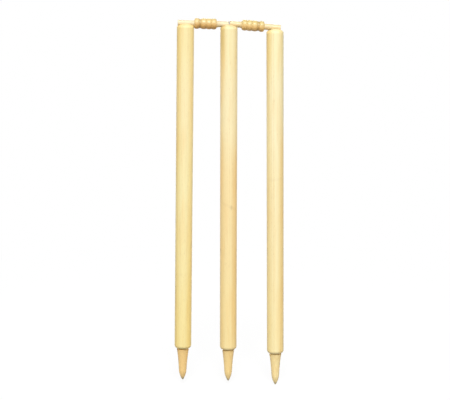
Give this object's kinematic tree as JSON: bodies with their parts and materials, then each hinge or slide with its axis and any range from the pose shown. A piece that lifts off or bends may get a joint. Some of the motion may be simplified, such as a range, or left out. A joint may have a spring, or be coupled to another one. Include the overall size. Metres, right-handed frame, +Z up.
{
  "type": "cricket wicket",
  "caption": "Full-size wooden cricket wicket: round stumps with domed, grooved tops and turned ground spikes, and beaded turned bails lying across them end to end.",
  "frame": {"origin": "on the middle stump's axis, level with the underside of its shoulder, which is the level of the ground", "axes": "+Z up along the middle stump, +X along the wicket towards the stump that is pressed deepest, Y through the wicket"},
  "size_m": [0.2408, 0.0366, 0.806],
  "materials": {
    "stump_wood": "pale ash, clear lacquer, satin",
    "bail_wood": "pale tan hardwood, clear lacquer, satin"
  },
  "bodies": {
    "middle_stump": {"middle_stump": "stump_wood"},
    "left_stump": {"left_stump": "stump_wood"},
    "right_stump": {"right_stump": "stump_wood"},
    "left_bail": {"left_bail": "bail_wood"},
    "right_bail": {"right_bail": "bail_wood"}
  },
  "joints": [
    {"name": "left_stump_draw", "type": "slide", "parent": "middle_stump", "child": "left_stump", "axis": [0, 0, 1], "range_m": [0, 0.07]},
    {"name": "right_stump_draw", "type": "slide", "parent": "middle_stump", "child": "right_stump", "axis": [0, 0, 1], "range_m": [0, 0.081]},
    {"name": "left_bail_lift", "type": "slide", "parent": "left_stump", "child": "left_bail", "axis": [0, 0, 1], "range_m": [0, 0.04]},
    {"name": "right_bail_lift", "type": "slide", "parent": "right_stump", "child": "right_bail", "axis": [0, 0, 1], "range_m": [0, 0.04]}
  ]
}
